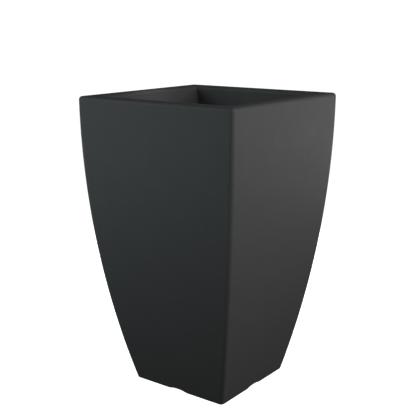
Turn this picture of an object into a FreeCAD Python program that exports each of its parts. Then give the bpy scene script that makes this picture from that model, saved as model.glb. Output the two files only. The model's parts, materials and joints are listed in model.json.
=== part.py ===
import FreeCAD, Part
import os
import re
import Sketcher
from FreeCAD import Placement, Rotation, Vector

# Tall square floor planter with arched walls, a lift-out planting liner and a water reserve.
# Millimetres, +Z up, origin on the floor at the centre of the base. The walls of the shell are circular
# arcs that stand upright at the rim, so every level section is a square. The rim turns inward into a
# hollow lip, and the lip ends in a seat that carries the flange of the liner.

# Driving dimensions
SIZES = {
    # shell
    "top_width": 400,
    "base_width": 241,
    "height": 644,
    "wall": 6,
    "edge_radius": 8,
    "foot_rounding": 3,
    "rim_radius": 8,
    "mouth_corner_radius": 9,
    "rim_width": 32,
    "lip_depth": 110,
    "seat_width": 16,
    "foot_width": 24,
    "foot_height": 10,
    "floor_thickness": 6,
    "notch_width": 48,
    "notch_height": 4,
    "drain_diameter": 30,
    # drain bung
    "bung_flange": 46,
    "bung_flange_thickness": 4,
    "bung_knob_diameter": 14,
    "bung_knob_height": 9,
    "bung_neck_diameter": 8,
    "bung_neck_height": 9,
    "bung_edge_radius": 1.5,
    # planting liner
    "liner_depth": 274,
    "liner_base_width": 240,
    "liner_wall": 3,
    "liner_corner_radius": 18,
    "liner_base_radius": 4,
    "flange_thickness": 4,
    "flange_edge_radius": 1.5,
    "overflow_diameter": 10,
    # liner handles
    "handle_span": 110,
    "handle_drop": 48,
    "handle_strip": 10,
    "handle_grip": 14,
    "handle_eye": 12,
    "handle_thickness": 8,
    "handle_outer_radius": 12,
    "handle_inner_radius": 5,
    "handle_edge_radius": 2,
    "trunnion_diameter": 6,
    "trunnion_length": 8,
    "handle_wall_gap": 6,
    "pivot_below_seat": 8,
    "ear_size": 16,
    "ear_thickness": 9,
    "bracket_gap": 2,
    "bracket_back": 7,
    # water separator
    "reserve_height": 60,
    "separator_thickness": 4,
    "separator_leg": 12,
    "leg_foot": 18,
    "leg_foot_thickness": 3,
    "leg_spigot": 6,
    "leg_inset": 13,
    "drip_hole": 6,
    "drip_margin": 18,
    # wick baskets
    "basket_setback": 39,
    "basket_diameter": 40,
    "basket_taper": 4,
    "basket_wall": 2,
    "basket_flange": 50,
    "basket_flange_thickness": 3,
    "basket_slot": 4,
    "basket_slot_height": 30,
    "basket_slot_rise": 10,
    "basket_floor_gap": 2,
    # filling tube and its cap
    "service_inset": 20,
    "fill_diameter": 30,
    "fill_wall": 2,
    "fill_shoulder": 36,
    "tube_above_seat": 18,
    "tube_spigot": 12,
    "shoulder_thickness": 4,
    "cap_diameter": 36,
    "cap_thickness": 5,
    "cap_skirt": 10,
    "cap_wall": 2,
    "cap_tab_length": 22,
    "cap_tab_width": 6,
    "cap_tab_height": 10,
    "cap_edge_radius": 2,
    # water gauge
    "gauge_diameter": 22,
    "gauge_wall": 2,
    "gauge_shoulder": 28,
    "dome_diameter": 27,
    "dome_wall": 2,
    "dome_height": 50,
    "dome_overlap": 8,
    "dome_edge_radius": 6,
    "float_diameter": 32,
    "float_height": 18,
    "float_edge_radius": 4,
    "rod_socket": 9,
    "rod_diameter": 4,
    "pointer_diameter": 12,
    "pointer_height": 10,
    "pointer_socket": 7,
    "pointer_edge_radius": 2,
    # clearances
    "liner_gap": 3,
    "slip_gap": 0.3,
    "running_gap": 0.08,
    "float_floor_gap": 0.3,
    "handle_side_gap": 0.6,
}

# Drip holes on each side of the middle of the separator
DRIPS = 4

# Sizes worked out from the driving dimensions, as expressions
DERIVED = {
    "taper": "(top_width - base_width) / 2",
    "arc_radius": "((height^2 + taper^2) / (2 * taper))",
    "mouth_half": "(top_width / 2 - rim_width)",
    "seat_level": "(height - lip_depth)",
    "seat_half": "(mouth_half - seat_width)",
    "floor_level": "(foot_height + floor_thickness)",
    "notch_radius": "((notch_width^2 / 4 + notch_height^2) / (2 * notch_height))",
    "liner_low": "(seat_level - liner_depth)",
    "liner_top": "(seat_level + flange_thickness)",
    "liner_half": "(seat_half - liner_gap)",
    "liner_floor": "(liner_low + liner_wall)",
    "liner_lean": "((liner_half - liner_base_width / 2) / (liner_top - liner_floor))",
    "liner_inside": "(liner_base_width / 2 - liner_wall)",
    "separator_low": "(liner_floor + reserve_height)",
    "separator_top": "(separator_low + separator_thickness)",
    "separator_half": "(liner_inside + reserve_height * liner_lean - slip_gap)",
    "leg_offset": "(liner_inside - leg_inset)",
    "drip_pitch": f"((leg_offset - separator_leg / 2 - drip_margin) / {DRIPS})",
    "service_offset": "(liner_inside - service_inset)",
    "basket_offset": "(service_offset - basket_setback)",
    "pivot_z": "(seat_level - pivot_below_seat)",
    "grip_wall": "(liner_inside + (pivot_z - handle_drop - liner_floor) * liner_lean)",
    "pivot_wall": "(liner_inside + (pivot_z - liner_floor) * liner_lean)",
    "hanging_room": "(grip_wall - handle_wall_gap - handle_thickness / 2)",
    "bracket_room": "(pivot_wall - bracket_back - bracket_gap - handle_eye / 2)",
    "pivot_x": "min(hanging_room; bracket_room)",
    "tube_top": "(seat_level + tube_above_seat)",
    "float_low": "(liner_floor + float_floor_gap)",
    "float_top": "(float_low + float_height)",
}


def size(text):
    """An expression in sheet cells, from one in the names of SIZES and DERIVED."""
    for name in reversed(list(DERIVED)):
        text = re.sub(rf"\b{name}\b", f"({DERIVED[name]})", text)
    return re.sub(r"\b([a-z]+(?:_[a-z]+)*)\b(?!\()", r"sizes.\1", text)


def number(text):
    """The value of such an expression in millimetres, read from the sheet."""
    plain = size(text)
    return float(sheet.evalExpression(plain))


doc = FreeCAD.newDocument("planter")
sheet = doc.addObject("Spreadsheet::Sheet", "sizes")
for row, (alias, value) in enumerate(SIZES.items(), start=1):
    sheet.set(f"A{row}", alias)
    sheet.set(f"B{row}", str(value))
    sheet.setAlias(f"B{row}", alias)
doc.recompute()


def bind(obj, expressions):
    for prop, text in expressions.items():
        obj.setExpression(prop, size(text))
    return obj


def at(x="0", y="0", z="0"):
    """Bindings that place an object at a point."""
    return {"Placement.Base.x": x, "Placement.Base.y": y, "Placement.Base.z": z}


# Building blocks
def block(name, width, depth, height, x="0", y="0", low="0"):
    """Box centred on (x, y), standing on the level low."""
    solid = doc.addObject("Part::Box", name)
    bind(solid, {"Length": width, "Width": depth, "Height": height})
    return bind(solid, at(f"{x} - ({width}) / 2", f"{y} - ({depth}) / 2", low))


def turned_block(name, width, depth, height, x, y, low, degrees):
    """Block turned about its own upright axis."""
    solid = block(name, width, depth, height, x, y, low)
    turn = Rotation(Vector(0, 0, 1), degrees)
    solid.Placement = Placement(Vector(), turn)
    along, across = turn.multVec(Vector(1, 0, 0)), turn.multVec(Vector(0, 1, 0))
    half_sides = [f"({along[i]:.6f} * ({width}) + {across[i]:.6f} * ({depth})) / 2" for i in (0, 1)]
    return bind(solid, at(f"{x} - {half_sides[0]}", f"{y} - {half_sides[1]}", low))


def cylinder(name, diameter, height, x="0", y="0", low="0"):
    solid = doc.addObject("Part::Cylinder", name)
    bind(solid, {"Radius": f"({diameter}) / 2", "Height": height})
    return bind(solid, at(x, y, low))


def cross_cylinder(name, diameter, length, x, y, z, along):
    """Cylinder that lies along +X or +Y, centred on (x, y, z)."""
    solid = doc.addObject("Part::Cylinder", name)
    turn = {"X": Rotation(Vector(0, 1, 0), 90), "Y": Rotation(Vector(1, 0, 0), -90)}[along]
    solid.Placement = Placement(Vector(), turn)
    bind(solid, {"Radius": f"({diameter}) / 2", "Height": length})
    start = {"X": (f"{x} - ({length}) / 2", y, z), "Y": (x, f"{y} - ({length}) / 2", z)}[along]
    return bind(solid, at(*start))


def cone(name, low_diameter, high_diameter, height, x="0", y="0", low="0"):
    solid = doc.addObject("Part::Cone", name)
    bind(solid, {"Radius1": f"({low_diameter}) / 2", "Radius2": f"({high_diameter}) / 2", "Height": height})
    return bind(solid, at(x, y, low))


def tub(name, low_half, high_half, low, high):
    """Square frustum about the Z axis."""
    solid = doc.addObject("Part::Wedge", name)
    solid.Placement = Placement(Vector(), Rotation(Vector(1, 0, 0), 90))
    for axis in "XZ":
        bind(solid, {f"{axis}min": f"-({low_half})", f"{axis}max": low_half})
        bind(solid, {f"{axis}2min": f"-({high_half})", f"{axis}2max": high_half})
    return bind(solid, {"Ymin": low, "Ymax": high})


def fuse(name, *solids):
    joined = doc.addObject("Part::MultiFuse", name)
    joined.Shapes = list(solids)
    joined.Refine = True
    return joined


def common(name, *solids):
    shared = doc.addObject("Part::MultiCommon", name)
    shared.Shapes = list(solids)
    return shared


def cut(name, base, *tools):
    tool = tools[0] if len(tools) == 1 else fuse(f"{name}_tools", *tools)
    made = doc.addObject("Part::Cut", name)
    made.Base = base
    made.Tool = tool
    return made


def rounded(name, base, radius, wanted):
    """Fillet on every edge of base for which wanted(edge) is true."""
    doc.recompute()
    value = number(radius)
    made = doc.addObject("Part::Fillet", name)
    made.Base = base
    made.Edges = [(i, value, value) for i, e in enumerate(base.Shape.Edges, start=1) if wanted(e)]
    return made


def upright(edge):
    """True for an edge that climbs more than it runs sideways."""
    box = edge.BoundBox
    return box.ZLength > max(box.XLength, box.YLength)


def lying_at(level, half=None):
    """Test for level edges at a height, on the square of that half width if one is given."""
    z = number(level)

    def wanted(edge):
        box = edge.BoundBox
        reach = max(abs(v) for v in (box.XMin, box.XMax, box.YMin, box.YMax))
        on_square = half is None or abs(reach - number(half)) < 0.01
        return abs(box.ZMin - z) < 1e-4 and abs(box.ZMax - z) < 1e-4 and on_square

    return wanted


def across_below(level):
    """Test for edges along X that lie below a level."""
    z = number(level)
    return lambda edge: edge.BoundBox.XLength > edge.BoundBox.YLength and edge.BoundBox.ZMax < z - 0.01


def outline_below(level):
    """Test for edges square to X that start below a level."""
    z = number(level)
    return lambda edge: edge.BoundBox.XLength < 0.01 and edge.BoundBox.ZMin < z - 0.01


# Shell
def wall_sketch(name, turn, inset, low, high):
    """Arched outline between two levels, inset from the outer wall along its normal."""
    sketch = doc.addObject("Sketcher::SketchObject", name)
    sketch.Placement = Placement(Vector(), turn)
    radius = number(f"arc_radius - ({inset})")
    shift = number("arc_radius - top_width / 2")
    rim, base, top = number("height"), number(low), number(high)

    def on_arc(z):
        return (radius**2 - (rim - z) ** 2) ** 0.5 - shift

    corners = [Vector(-on_arc(base), base), Vector(on_arc(base), base)]
    corners += [Vector(on_arc(top), top), Vector(-on_arc(top), top)]
    middle = on_arc((base + top) / 2)
    bottom = sketch.addGeometry(Part.LineSegment(corners[0], corners[1]))
    right = sketch.addGeometry(Part.Arc(corners[1], Vector(middle, (base + top) / 2), corners[2]))
    lid = sketch.addGeometry(Part.LineSegment(corners[2], corners[3]))
    left = sketch.addGeometry(Part.Arc(corners[3], Vector(-middle, (base + top) / 2), corners[0]))
    # The outline runs counter-clockwise, so each edge ends where the next one starts.
    for edge, following in ((bottom, right), (right, lid), (lid, left), (left, bottom)):
        sketch.addConstraint(Sketcher.Constraint("Coincident", edge, 2, following, 1))
    sketch.addConstraint(Sketcher.Constraint("Horizontal", bottom))
    sketch.addConstraint(Sketcher.Constraint("Horizontal", lid))
    driven = [
        (Sketcher.Constraint("Radius", right, radius), f"arc_radius - ({inset})"),
        (Sketcher.Constraint("Radius", left, radius), f"arc_radius - ({inset})"),
        (Sketcher.Constraint("DistanceX", right, 3, -1, 1, shift), "arc_radius - top_width / 2"),
        (Sketcher.Constraint("DistanceX", -1, 1, left, 3, shift), "arc_radius - top_width / 2"),
        (Sketcher.Constraint("DistanceY", -1, 1, right, 3, rim), "height"),
        (Sketcher.Constraint("DistanceY", -1, 1, left, 3, rim), "height"),
        (Sketcher.Constraint("DistanceY", -1, 1, bottom, 1, base), low),
        (Sketcher.Constraint("DistanceY", -1, 1, lid, 1, top), high),
    ]
    for constraint, text in driven:
        index = sketch.addConstraint(constraint)
        sketch.setExpression(f"Constraints[{index}]", size(text))
    return sketch


def arched_block(name, inset, low, high):
    """Solid whose four sides follow the outer wall at an inset: two crossed extrusions in common."""
    turns = {"x": Rotation(Vector(1, 0, 0), 90), "y": Rotation(Vector(1, 1, 1), 120)}
    sides = []
    for side, turn in turns.items():
        push = doc.addObject("Part::Extrusion", f"{name}_{side}")
        push.Base = wall_sketch(f"{name}_{side}_outline", turn, inset, low, high)
        push.DirMode = "Normal"
        push.Solid = True
        push.Symmetric = True
        sides.append(bind(push, {"LengthFwd": "top_width * 2"}))
    return common(name, *sides)


def planter_shell():
    outer = doc.addObject("Part::Offset", "outer")
    outer.Source = arched_block("core", "edge_radius", "foot_rounding", "height - edge_radius")
    outer.Join = "Arc"
    bind(outer, {"Value": "edge_radius"})
    # the rounding along the bottom is cut off at the floor, which leaves its upper part
    ground = block("ground", "top_width", "top_width", "2 * edge_radius", low="-2 * edge_radius")
    # the hollow behind the wall reaches up into the lip and stops short of the lip's own inner wall
    lip_width = "2 * (mouth_half + wall)"
    lip = block("lip", lip_width, lip_width, "lip_depth + wall", low="seat_level - wall")
    hollow = cut("hollow", arched_block("inside", "wall", "floor_level", "height - wall"), lip)
    mouth = block("mouth_square", "2 * mouth_half", "2 * mouth_half", "lip_depth", low="seat_level")
    mouth = rounded("mouth", mouth, "mouth_corner_radius", upright)
    seat = block("seat_square", "2 * seat_half", "2 * seat_half", "2 * wall", low="seat_level - wall")
    seat = rounded("seat_opening", seat, "liner_corner_radius", upright)
    recess_width = "(base_width - 2 * foot_width)"
    recess = block("recess_square", recess_width, recess_width, "foot_height")
    recess = rounded("recess", recess, "edge_radius", upright)
    level = "notch_height - notch_radius"
    notches = [
        cross_cylinder(f"notch_{a}", "2 * notch_radius", "top_width", "0", "0", level, along=a) for a in "XY"
    ]
    drain = cylinder("drain", "drain_diameter", "floor_level")
    body = cut("shell_cut", outer, ground, hollow, mouth, seat, recess, *notches, drain)
    return rounded("planter_shell", body, "rim_radius", lying_at("height", "mouth_half"))


def drain_bung():
    """Rubber stopper in the drain hole, with a knob to pull it by."""
    stem = cylinder("bung_stem", "drain_diameter - 2 * slip_gap", "floor_thickness", low="foot_height")
    neck_low = "floor_level + bung_flange_thickness"
    flange = cylinder("bung_disc", "bung_flange", "bung_flange_thickness", low="floor_level")
    flange = rounded("bung_disc_soft", flange, "bung_edge_radius", lying_at(neck_low))
    neck = cylinder("bung_neck", "bung_neck_diameter", "bung_neck_height", low=neck_low)
    knob_low = f"{neck_low} + bung_neck_height"
    knob = cylinder("bung_knob", "bung_knob_diameter", "bung_knob_height", low=knob_low)
    knob = rounded("bung_knob_soft", knob, "bung_edge_radius", lying_at(f"{knob_low} + bung_knob_height"))
    return fuse("drain_bung", stem, flange, neck, knob)


# Planting liner
SIDES = {"right": 1, "left": -1}


def liner_cavity():
    """Inside of the liner, from its floor to its top."""
    inner = tub("cavity_square", "liner_inside", "liner_half - liner_wall", "liner_floor", "liner_top")
    return rounded("cavity", inner, "liner_corner_radius - liner_wall", upright)


def liner_pot(cavity):
    outer = tub("liner_outer", "liner_base_width / 2", "liner_half", "liner_low", "liner_top")
    outer = rounded("liner_sides", outer, "liner_corner_radius", upright)
    outer = rounded("liner_outside", outer, "liner_base_radius", lying_at("liner_low"))
    flange_width = "2 * (mouth_half - liner_gap)"
    flange = block("flange_square", flange_width, flange_width, "flange_thickness", low="seat_level")
    flange = rounded("flange", flange, "mouth_corner_radius", upright)
    flange = rounded("flange_soft", flange, "flange_edge_radius", lying_at("liner_top"))
    overflow = cross_cylinder(
        "overflow", "overflow_diameter", "liner_base_width", "-liner_base_width / 2", "0",
        "separator_low - overflow_diameter", along="X",
    )
    return cut("liner_pot", fuse("liner_walls", outer, flange), cavity, overflow)


def handle_bracket(side, cavity):
    """Bracket on the liner's wall with an ear at each end of the handle; its back follows the wall."""
    name, sign = f"handle_bracket_{side}", SIDES[side]
    low = "pivot_z - ear_size / 2"
    front = "(pivot_x + handle_eye / 2 + bracket_gap)"
    width = "handle_span + 2 * (handle_side_gap + ear_thickness)"
    back_x = f"{sign} * (liner_half + {front}) / 2"
    back = block(f"{name}_back", f"liner_half - {front}", width, "ear_size", back_x, low=low)
    pieces, bores = [back], []
    for end in (1, -1):
        y = f"{end} * (handle_span / 2 + handle_side_gap + ear_thickness / 2)"
        tip = "(pivot_x - ear_size / 2)"
        x = f"{sign} * (liner_half + {tip}) / 2"
        reach = f"liner_half - {tip}"
        pieces.append(block(f"{name}_ear_{end + 1}", reach, "ear_thickness", "ear_size", x, y, low))
        axis = (f"{sign} * pivot_x", y, "pivot_z")
        bore = "trunnion_diameter + 2 * running_gap"
        bores.append(cross_cylinder(f"{name}_bore_{end + 1}", bore, "ear_thickness", *axis, along="Y"))
    seated = common(f"{name}_seated", fuse(f"{name}_blank", *pieces), cavity)
    return cut(name, seated, *bores)


def handle(side):
    """Flat bail that hangs inside the liner on two trunnions."""
    name, sign = f"handle_{side}", SIDES[side]
    x = f"{sign} * pivot_x"
    low = "pivot_z - handle_drop"
    plate = block(f"{name}_plate", "handle_thickness", "handle_span", "handle_drop", x, low=low)
    plate = rounded(f"{name}_outline", plate, "handle_outer_radius", across_below("pivot_z"))
    gap_size = ("handle_thickness", "handle_span - 2 * handle_strip", "handle_drop - handle_grip")
    gap = block(f"{name}_gap", *gap_size, x, low=f"{low} + handle_grip")
    gap = rounded(f"{name}_finger_gap", gap, "handle_inner_radius", across_below("pivot_z"))
    bail = cut(f"{name}_bail", plate, gap)
    pieces = [rounded(f"{name}_soft", bail, "handle_edge_radius", outline_below("pivot_z"))]
    for end in (1, -1):
        arm_y = f"{end} * (handle_span - handle_strip) / 2"
        eye = cross_cylinder(
            f"{name}_eye_{end + 1}", "handle_eye", "handle_strip", x, arm_y, "pivot_z", along="Y"
        )
        pin_y = f"{end} * (handle_span + trunnion_length) / 2"
        pin = cross_cylinder(
            f"{name}_pin_{end + 1}", "trunnion_diameter", "trunnion_length", x, pin_y, "pivot_z", along="Y"
        )
        pieces += [eye, pin]
    return fuse(name, *pieces)


# Water reserve
CORNERS = [(1, 1), (-1, 1), (-1, -1), (1, -1)]
LEGS = [(1, 0), (0, 1), (-1, 0), (0, -1)]
FILL = ("service_offset", "service_offset")
GAUGE = ("-service_offset", "service_offset")


def water_separator():
    plate = block(
        "plate_square", "2 * separator_half", "2 * separator_half", "separator_thickness", low="separator_low"
    )
    plate = rounded("plate", plate, "liner_corner_radius - liner_wall", upright)
    wanted = {"fill_hole": ("fill_diameter + 2 * slip_gap", FILL)}
    wanted["gauge_hole"] = ("gauge_diameter + 2 * slip_gap", GAUGE)
    for i, (x, y) in enumerate(CORNERS):
        centre = (f"{x} * basket_offset", f"{y} * basket_offset")
        wanted[f"basket_hole_{i}"] = ("basket_diameter + 2 * slip_gap", centre)
    for i, (x, y) in enumerate(LEGS):
        centre = (f"{x} * leg_offset", f"{y} * leg_offset")
        wanted[f"leg_hole_{i}"] = ("leg_spigot + 2 * running_gap", centre)
    for i in range(-DRIPS, DRIPS + 1):
        wanted[f"drip_across_{i + DRIPS}"] = ("drip_hole", (f"{i} * drip_pitch", "0"))
        if i != 0:
            wanted[f"drip_along_{i + DRIPS}"] = ("drip_hole", ("0", f"{i} * drip_pitch"))
    holes = [
        cylinder(name, diameter, "separator_thickness", *centre, "separator_low")
        for name, (diameter, centre) in wanted.items()
    ]
    return cut("water_separator", plate, *holes)


def separator_leg(index):
    """Leg on the liner's floor with a spigot in the separator."""
    name = f"separator_leg_{index + 1}"
    centre = [f"{sign} * leg_offset" for sign in LEGS[index]]
    foot = cylinder(f"{name}_foot", "leg_foot", "leg_foot_thickness", *centre, "liner_floor")
    stem = cylinder(f"{name}_stem", "separator_leg", "reserve_height", *centre, "liner_floor")
    spigot = cylinder(f"{name}_spigot", "leg_spigot", "separator_thickness", *centre, "separator_low")
    return fuse(name, foot, stem, spigot)


def wick_basket(index):
    """Slotted cup that hangs in the separator and dips into the water."""
    name = f"wick_basket_{index + 1}"
    x, y = (f"{sign} * basket_offset" for sign in CORNERS[index])
    low, tall = "liner_floor + basket_floor_gap", "(reserve_height - basket_floor_gap + separator_thickness)"
    narrow = "(basket_diameter - 2 * basket_taper)"
    outer = cone(f"{name}_outer", narrow, "basket_diameter", tall, x, y, low)
    flange = cylinder(f"{name}_flange", "basket_flange", "basket_flange_thickness", x, y, "separator_top")
    inner = cone(
        f"{name}_inner", f"{narrow} - 2 * basket_wall", "basket_diameter - 2 * basket_wall",
        f"{tall} + basket_flange_thickness - basket_wall", x, y, f"{low} + basket_wall",
    )
    slot_low = f"{low} + basket_slot_rise"
    slot_size = ("basket_diameter", "basket_slot", "basket_slot_height")
    slots = [
        turned_block(f"{name}_slot_{turn}", *slot_size, x, y, slot_low, turn) for turn in (0, 60, 120)
    ]
    return cut(name, fuse(f"{name}_cup", outer, flange), inner, *slots)


def standing_tube(name, diameter, thickness, shoulder, centre):
    """Tube with a spigot in the separator and a shoulder that rests on it."""
    low = "separator_top - tube_spigot"
    length = "tube_top - separator_top + tube_spigot"
    pipe = cylinder(f"{name}_pipe", diameter, length, *centre, low)
    ring = cylinder(f"{name}_ring", shoulder, "shoulder_thickness", *centre, "separator_top")
    bore = cylinder(f"{name}_bore", f"{diameter} - 2 * {thickness}", length, *centre, low)
    return cut(name, fuse(f"{name}_body", pipe, ring), bore)


def fill_cap():
    skirt_diameter = "fill_diameter - 2 * fill_wall - 2 * slip_gap"
    skirt_low, tab_low = "tube_top - cap_skirt", "tube_top + cap_thickness"
    disc = cylinder("cap_disc", "cap_diameter", "cap_thickness", *FILL, "tube_top")
    disc = rounded("cap_disc_soft", disc, "cap_edge_radius", lying_at(tab_low))
    skirt = cylinder("cap_plug", skirt_diameter, "cap_skirt", *FILL, skirt_low)
    hollow = cylinder("cap_hollow", f"{skirt_diameter} - 2 * cap_wall", "cap_skirt", *FILL, skirt_low)
    tab = block("cap_tab", "cap_tab_length", "cap_tab_width", "cap_tab_height", *FILL, tab_low)
    tab = rounded("cap_tab_soft", tab, "cap_edge_radius", upright)
    return cut("fill_cap", fuse("cap_body", disc, skirt, tab), hollow)


def gauge_dome():
    """Clear cap over the gauge tube, in which the pointer shows the water level."""
    low = "tube_top - dome_overlap"
    inside = "gauge_diameter + 2 * slip_gap"
    outer = cylinder("dome_outer", "dome_diameter", "dome_overlap + dome_height", *GAUGE, low)
    outer = rounded("dome_round", outer, "dome_edge_radius", lying_at("tube_top + dome_height"))
    sleeve = cylinder("dome_sleeve", inside, "dome_overlap", *GAUGE, low)
    bore_diameter = "gauge_diameter - 2 * gauge_wall"
    bore = cylinder("dome_bore", bore_diameter, "dome_height - dome_wall", *GAUGE, "tube_top")
    return cut("gauge_dome", outer, sleeve, bore)


def gauge_float():
    disc = cylinder("float_disc", "float_diameter", "float_height", *GAUGE, "float_low")
    disc = rounded("float_round", disc, "float_edge_radius", lying_at("float_top"))
    socket = "rod_diameter + 2 * running_gap"
    bore = cylinder("float_bore", socket, "rod_socket", *GAUGE, "float_top - rod_socket")
    return cut("gauge_float", disc, bore)


def gauge_rod():
    """Rod between the float and the pointer, with an end in each."""
    low = "(float_top - rod_socket)"
    return cylinder("gauge_rod", "rod_diameter", f"tube_top + pointer_socket - {low}", *GAUGE, low)


def gauge_pointer():
    disc = cylinder("pointer_disc", "pointer_diameter", "pointer_height", *GAUGE, "tube_top")
    disc = rounded("pointer_round", disc, "pointer_edge_radius", lying_at("tube_top + pointer_height"))
    bore = cylinder("pointer_bore", "rod_diameter + 2 * running_gap", "pointer_socket", *GAUGE, "tube_top")
    return cut("gauge_pointer", disc, bore)


# Assembly
CAVITY = liner_cavity()
PIECES = [planter_shell(), drain_bung(), liner_pot(CAVITY), water_separator()]
for side in SIDES:
    PIECES += [handle_bracket(side, CAVITY), handle(side)]
PIECES += [separator_leg(i) for i in range(len(LEGS))]
PIECES += [wick_basket(i) for i in range(len(CORNERS))]
PIECES += [
    standing_tube("fill_tube", "fill_diameter", "fill_wall", "fill_shoulder", FILL),
    standing_tube("gauge_tube", "gauge_diameter", "gauge_wall", "gauge_shoulder", GAUGE),
    fill_cap(),
    gauge_dome(),
    gauge_float(),
    gauge_rod(),
    gauge_pointer(),
]
doc.recompute()

failed = [o.Name for o in doc.Objects if {"Invalid", "Error"} & set(o.State)]
failed += [p.Label for p in PIECES if p.Shape.isNull() or not p.Shape.isValid()]
if failed:
    raise RuntimeError(f"failed objects: {failed}")

os.makedirs("parts", exist_ok=True)
for piece in PIECES:
    solids = piece.Shape.Solids
    piece.Shape.exportStep(f"parts/{piece.Label}.step")
    print(f"{piece.Label}: {len(solids)} solid, {piece.Shape.Volume / 1000:.1f} cm3")
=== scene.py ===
import json
import math

import bmesh
import bpy
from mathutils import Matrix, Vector


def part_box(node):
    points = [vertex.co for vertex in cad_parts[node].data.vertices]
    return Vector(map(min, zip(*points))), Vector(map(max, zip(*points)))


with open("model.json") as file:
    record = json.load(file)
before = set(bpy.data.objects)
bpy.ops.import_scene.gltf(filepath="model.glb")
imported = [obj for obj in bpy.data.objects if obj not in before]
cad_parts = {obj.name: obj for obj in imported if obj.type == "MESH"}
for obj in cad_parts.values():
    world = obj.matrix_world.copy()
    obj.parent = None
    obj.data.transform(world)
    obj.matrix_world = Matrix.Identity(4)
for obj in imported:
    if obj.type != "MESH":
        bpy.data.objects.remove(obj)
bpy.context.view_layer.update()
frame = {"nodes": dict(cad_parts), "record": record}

NODES = frame["nodes"]

# Colours, linear
ANTHRACITE = (0.0575, 0.0585, 0.0580)
LINER_BLACK = (0.022, 0.023, 0.024)
HANDLE_GREY = (0.050, 0.053, 0.055)
INSERT_GREY = (0.085, 0.088, 0.091)
CAP_BLUE = (0.035, 0.115, 0.260)
FLOAT_RED = (0.560, 0.035, 0.020)
RUBBER_BLACK = (0.014, 0.014, 0.015)
CLEAR = (0.93, 0.97, 0.97)
FLOOR_WHITE = (0.92, 0.92, 0.92)
WHITE = (1.0, 1.0, 1.0)
COOL = (0.88, 1.0, 1.04)


# Node helpers
def add_node(tree, kind, values=None, **settings):
    """New shader node with its settings and unlinked inputs set."""
    node = tree.nodes.new(kind)
    for name, value in settings.items():
        setattr(node, name, value)
    for name, value in (values or {}).items():
        node.inputs[name].default_value = value
    return node


def new_material(name):
    """Material with a plain Principled shader, its node tree and that shader."""
    material = bpy.data.materials.new(name)
    material.use_nodes = True
    shader = material.node_tree.nodes["Principled BSDF"]
    return material, material.node_tree, shader


def noise(tree, scale, detail=2.0):
    """Noise in the object's own metres."""
    place = add_node(tree, "ShaderNodeTexCoord").outputs["Object"]
    cloud = add_node(tree, "ShaderNodeTexNoise", {"Scale": scale, "Detail": detail})
    tree.links.new(place, cloud.inputs["Vector"])
    return cloud.outputs["Fac"]


def spread(tree, value, low, high, start=0.3, end=0.7):
    """Value mapped from its usual span to low and high."""
    limits = {"From Min": start, "From Max": end, "To Min": low, "To Max": high}
    mapped = add_node(tree, "ShaderNodeMapRange", limits)
    tree.links.new(value, mapped.inputs["Value"])
    return mapped.outputs["Result"]


def mixed(tree, factor, first, second):
    """Colour between two; each may be a colour or an output."""
    mix = add_node(tree, "ShaderNodeMix", data_type="RGBA")
    tree.links.new(factor, mix.inputs["Factor"])
    for socket, colour in ((mix.inputs[6], first), (mix.inputs[7], second)):
        if isinstance(colour, tuple):
            socket.default_value = (*colour, 1.0)
        else:
            tree.links.new(colour, socket)
    return mix.outputs[2]


def bumps(tree, shader, layers):
    """Stacked bump of several (height, distance) layers on the shader's normal."""
    normal = None
    for height, distance in layers:
        bump = add_node(tree, "ShaderNodeBump", {"Strength": 1.0, "Distance": distance})
        tree.links.new(height, bump.inputs["Height"])
        if normal:
            tree.links.new(normal, bump.inputs["Normal"])
        normal = bump.outputs["Normal"]
    tree.links.new(normal, shader.inputs["Normal"])


def shade(colour, factor):
    return tuple(channel * factor for channel in colour)


# Moulded plastic: scales in cycles per metre, the fleck scale as a share of the grain's
MOTTLE_SCALE = 9.0
MOTTLE_SHARE = 0.03
SHEEN_SCALE = 38.0
SHEEN_SPREAD = 0.03
FLECK_SHARE = 0.45
FLECK_START = 0.62
FLECK_END = 0.74
FLECK_TINT = 1.16
SWAY_SCALE = 6.0


def moulded_plastic(name, colour, roughness, grain_scale, grain_depth, sway_depth=0.0, gloss=0.5):
    """Matte moulded plastic: fine grain and flecks, faint mottling, uneven sheen and slightly wavy walls."""
    material, tree, shader = new_material(name)
    broad = noise(tree, MOTTLE_SCALE, detail=4.0)
    grain = noise(tree, grain_scale, detail=1.0)
    sheen = noise(tree, SHEEN_SCALE, detail=3.0)
    specks = noise(tree, grain_scale * FLECK_SHARE, detail=0.0)
    flecks = spread(tree, specks, 0.0, 1.0, FLECK_START, FLECK_END)
    dark, light = shade(colour, 1.0 - MOTTLE_SHARE), shade(colour, 1.0 + MOTTLE_SHARE)
    base = mixed(tree, spread(tree, broad, 0.0, 1.0), dark, light)
    tint = mixed(tree, flecks, base, shade(colour, FLECK_TINT))
    tree.links.new(tint, shader.inputs["Base Color"])
    uneven = spread(tree, sheen, roughness - SHEEN_SPREAD, roughness + SHEEN_SPREAD)
    tree.links.new(uneven, shader.inputs["Roughness"])
    shader.inputs["Specular IOR Level"].default_value = gloss
    layers = [(grain, grain_depth)]
    if sway_depth:
        layers.insert(0, (noise(tree, SWAY_SCALE, detail=1.0), sway_depth))
    bumps(tree, shader, layers)
    return material


# Rubber
DUST_SCALE = 60.0
DUST_START = 0.45
DUST_END = 0.8
DUST_MOST = 0.6
DUST_TINT = 2.2
RUBBER_SHEEN_SCALE = 120.0
RUBBER_ROUGHNESS = (0.68, 0.82)
RUBBER_GRAIN_SCALE = 1400.0
RUBBER_GRAIN_DEPTH = 0.00008


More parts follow.
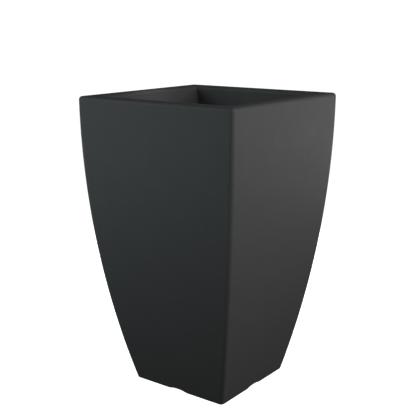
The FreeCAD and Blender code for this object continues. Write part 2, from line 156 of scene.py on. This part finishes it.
def rubber(name, colour):
    """Dull rubber with dust in its pores."""
    material, tree, shader = new_material(name)
    dust = spread(tree, noise(tree, DUST_SCALE, detail=5.0), 0.0, DUST_MOST, DUST_START, DUST_END)
    tree.links.new(mixed(tree, dust, colour, shade(colour, DUST_TINT)), shader.inputs["Base Color"])
    uneven = spread(tree, noise(tree, RUBBER_SHEEN_SCALE), *RUBBER_ROUGHNESS)
    tree.links.new(uneven, shader.inputs["Roughness"])
    bumps(tree, shader, [(noise(tree, RUBBER_GRAIN_SCALE, detail=1.0), RUBBER_GRAIN_DEPTH)])
    return material


# Clear plastic
CLEAR_IOR = 1.49
CLEAR_SHEEN_SCALE = 80.0
CLEAR_ROUGHNESS = (0.04, 0.14)
CLEAR_WAVE_SCALE = 40.0
CLEAR_WAVE_DEPTH = 0.00006


def clear_plastic(name, colour):
    """Clear plastic with unevenly polished, slightly wavy faces."""
    material, tree, shader = new_material(name)
    shader.inputs["Base Color"].default_value = (*colour, 1.0)
    shader.inputs["Transmission Weight"].default_value = 1.0
    shader.inputs["IOR"].default_value = CLEAR_IOR
    uneven = spread(tree, noise(tree, CLEAR_SHEEN_SCALE, detail=3.0), *CLEAR_ROUGHNESS)
    tree.links.new(uneven, shader.inputs["Roughness"])
    bumps(tree, shader, [(noise(tree, CLEAR_WAVE_SCALE), CLEAR_WAVE_DEPTH)])
    return material


def slot_materials():
    """Material of each slot in the record."""
    plastics = {
        "shell_plastic": dict(colour=ANTHRACITE, roughness=0.62, grain_scale=1100.0, grain_depth=0.00012,
                              sway_depth=0.0003, gloss=0.36),
        "liner_plastic": dict(colour=LINER_BLACK, roughness=0.42, grain_scale=1600.0, grain_depth=0.00006),
        "handle_plastic": dict(colour=HANDLE_GREY, roughness=0.40, grain_scale=1600.0, grain_depth=0.00006),
        "insert_plastic": dict(colour=INSERT_GREY, roughness=0.45, grain_scale=1600.0, grain_depth=0.00005),
        "cap_plastic": dict(colour=CAP_BLUE, roughness=0.32, grain_scale=1800.0, grain_depth=0.00004),
        "float_plastic": dict(colour=FLOAT_RED, roughness=0.30, grain_scale=1800.0, grain_depth=0.00003),
    }
    materials = {slot: moulded_plastic(slot, **finish) for slot, finish in plastics.items()}
    materials["bung_rubber"] = rubber("bung_rubber", RUBBER_BLACK)
    materials["clear_plastic"] = clear_plastic("clear_plastic", CLEAR)
    return materials


def dress_nodes():
    """Each CAD node gets the material of its slot."""
    materials = slot_materials()
    for part in frame["record"]["subparts"]:
        mesh = NODES[part["node"]].data
        mesh.materials.clear()
        mesh.materials.append(materials[part["material_slot"]])


# Stage: the floor lies a hair below the foot, so that no two faces coincide
FLOOR_LEVEL = -0.0003
SWEEP_FLAT = 4.0
SWEEP_CURVE = 2.5
SWEEP_WALL = 3.0
SWEEP_SIDES = 96
SWEEP_STEPS = 12
FLOOR_CLOUD_SCALE = 1.5
FLOOR_CLOUD_TINT = 1.02
FLOOR_ROUGHNESS = 0.9
FLOOR_GLOW = 1.0


def sweep_profile():
    """Radius and height of each ring, from the flat floor up the round wall."""
    profile = [(SWEEP_FLAT, FLOOR_LEVEL)]
    for step in range(1, SWEEP_STEPS + 1):
        turn = math.radians(90.0 * step / SWEEP_STEPS)
        profile.append((SWEEP_FLAT + SWEEP_CURVE * math.sin(turn), SWEEP_CURVE * (1.0 - math.cos(turn))))
    profile.append((SWEEP_FLAT + SWEEP_CURVE, SWEEP_CURVE + SWEEP_WALL))
    return profile


def floor_material():
    material, tree, shader = new_material("floor_white")
    tint = spread(tree, noise(tree, FLOOR_CLOUD_SCALE), 0.0, 1.0)
    pale = mixed(tree, tint, FLOOR_WHITE, shade(FLOOR_WHITE, FLOOR_CLOUD_TINT))
    tree.links.new(pale, shader.inputs["Base Color"])
    shader.inputs["Roughness"].default_value = FLOOR_ROUGHNESS
    shader.inputs["Specular IOR Level"].default_value = 0.0
    shader.inputs["Emission Color"].default_value = (*WHITE, 1.0)
    shader.inputs["Emission Strength"].default_value = FLOOR_GLOW
    return material


def floor_sweep():
    """Pale floor that curves up into a round wall far behind the object."""
    bm = bmesh.new()
    angles = [2.0 * math.pi * side / SWEEP_SIDES for side in range(SWEEP_SIDES)]
    rings = []
    for radius, level in sweep_profile():
        rings.append([bm.verts.new((radius * math.cos(a), radius * math.sin(a), level)) for a in angles])
    bm.faces.new(rings[0])
    for inner, outer in zip(rings, rings[1:]):
        for i in range(SWEEP_SIDES):
            j = (i + 1) % SWEEP_SIDES
            bm.faces.new((inner[i], outer[i], outer[j], inner[j]))
    mesh = bpy.data.meshes.new("floor_sweep")
    bm.normal_update()
    bm.to_mesh(mesh)
    bm.free()
    mesh.shade_smooth()
    mesh.materials.append(floor_material())
    sweep = bpy.data.objects.new("floor_sweep", mesh)
    bpy.context.scene.collection.objects.link(sweep)
    # the studio's black flags keep the floor from throwing light back up at the walls
    sweep.visible_diffuse = False
    sweep.visible_glossy = False


# Light
ROOM_GLOW = 0.05
RIM = Vector((0.0, 0.0, 0.60))
BELLY = Vector((0.0, 0.0, 0.36))
MOUTH_LIGHT_PLACE = Vector((0.55, 0.0, 2.2))
MOUTH_LIGHT_REACH = 0.165
MOUTH_LIGHT_BLEND = 0.4
MOUTH_LIGHT_RADIUS = 0.03


def studio_room():
    """Dim even light of the room around the softboxes."""
    world = bpy.data.worlds.new("studio_room")
    world.use_nodes = True
    bpy.context.scene.world = world
    background = world.node_tree.nodes["Background"]
    background.inputs["Color"].default_value = (*WHITE, 1.0)
    background.inputs["Strength"].default_value = ROOM_GLOW


def place_lamp(light, place, aim):
    """Lamp with this light, turned from its place to its aim."""
    lamp = bpy.data.objects.new(light.name, light)
    bpy.context.scene.collection.objects.link(lamp)
    lamp.location = place
    lamp.rotation_euler = (Vector(place) - aim).to_track_quat("Z", "Y").to_euler()
    return lamp


def softbox(name, place, aim, width, height, power, colour=WHITE):
    light = bpy.data.lights.new(name, "AREA")
    light.shape = "RECTANGLE"
    light.size = width
    light.size_y = height
    light.energy = power
    light.color = colour
    lamp = place_lamp(light, place, aim)
    lamp.visible_camera = False


def mouth_light(power):
    """Narrow light from above that falls only inside the mouth."""
    mouth = Vector((0.0, 0.0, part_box("planter_shell")[1][2]))
    light = bpy.data.lights.new("mouth_light", "SPOT")
    light.spot_size = 2.0 * math.atan(MOUTH_LIGHT_REACH / (MOUTH_LIGHT_PLACE - mouth).length)
    light.spot_blend = MOUTH_LIGHT_BLEND
    light.shadow_soft_size = MOUTH_LIGHT_RADIUS
    light.energy = power
    place_lamp(light, MOUTH_LIGHT_PLACE, mouth)


def studio_lights():
    """Wide softboxes above the rim in front, small ones at the belly and low ones behind."""
    softbox("key_right", (1.80, -0.42, 1.45), RIM, width=1.0, height=0.8, power=10.0)
    softbox("key_behind", (1.50, 0.50, 1.10), RIM, width=1.0, height=0.8, power=10.0)
    softbox("belly_right", (0.85, -0.30, 0.40), BELLY, width=0.5, height=0.3, power=0.75)
    softbox("fill_left", (-1.20, -1.45, 1.10), RIM, width=1.2, height=0.6, power=6.0, colour=COOL)
    softbox("fill_high", (-1.20, -1.45, 1.60), RIM, width=1.2, height=0.6, power=5.6, colour=COOL)
    softbox("belly_left", (-0.35, -0.85, 0.40), BELLY, width=0.5, height=0.3, power=0.85, colour=COOL)
    softbox("back_left", (-1.30, 0.10, 0.40), BELLY, width=1.2, height=0.5, power=7.0)
    softbox("back_right", (0.10, 1.30, 0.40), BELLY, width=1.2, height=0.5, power=7.0)
    mouth_light(power=130.0)


# Camera of the photograph
CAMERA_PLACE = Vector((1.03847, -1.39725, 0.79953))
CAMERA_AZIMUTH = math.radians(36.64)
CAMERA_ELEVATION = math.radians(13.30)
CAMERA_LENS = 68.95
CAMERA_SENSOR = 36.0


def photo_camera():
    back = Vector((
        math.sin(CAMERA_AZIMUTH) * math.cos(CAMERA_ELEVATION),
        -math.cos(CAMERA_AZIMUTH) * math.cos(CAMERA_ELEVATION),
        math.sin(CAMERA_ELEVATION),
    ))
    data = bpy.data.cameras.new("photo_camera")
    data.lens = CAMERA_LENS
    data.sensor_width = CAMERA_SENSOR
    camera = bpy.data.objects.new("photo_camera", data)
    camera.location = CAMERA_PLACE
    camera.rotation_euler = back.to_track_quat("Z", "Y").to_euler()
    bpy.context.scene.collection.objects.link(camera)
    bpy.context.scene.camera = camera


dress_nodes()
floor_sweep()
studio_room()
studio_lights()
photo_camera()
bpy.context.scene.view_settings.view_transform = "Standard"
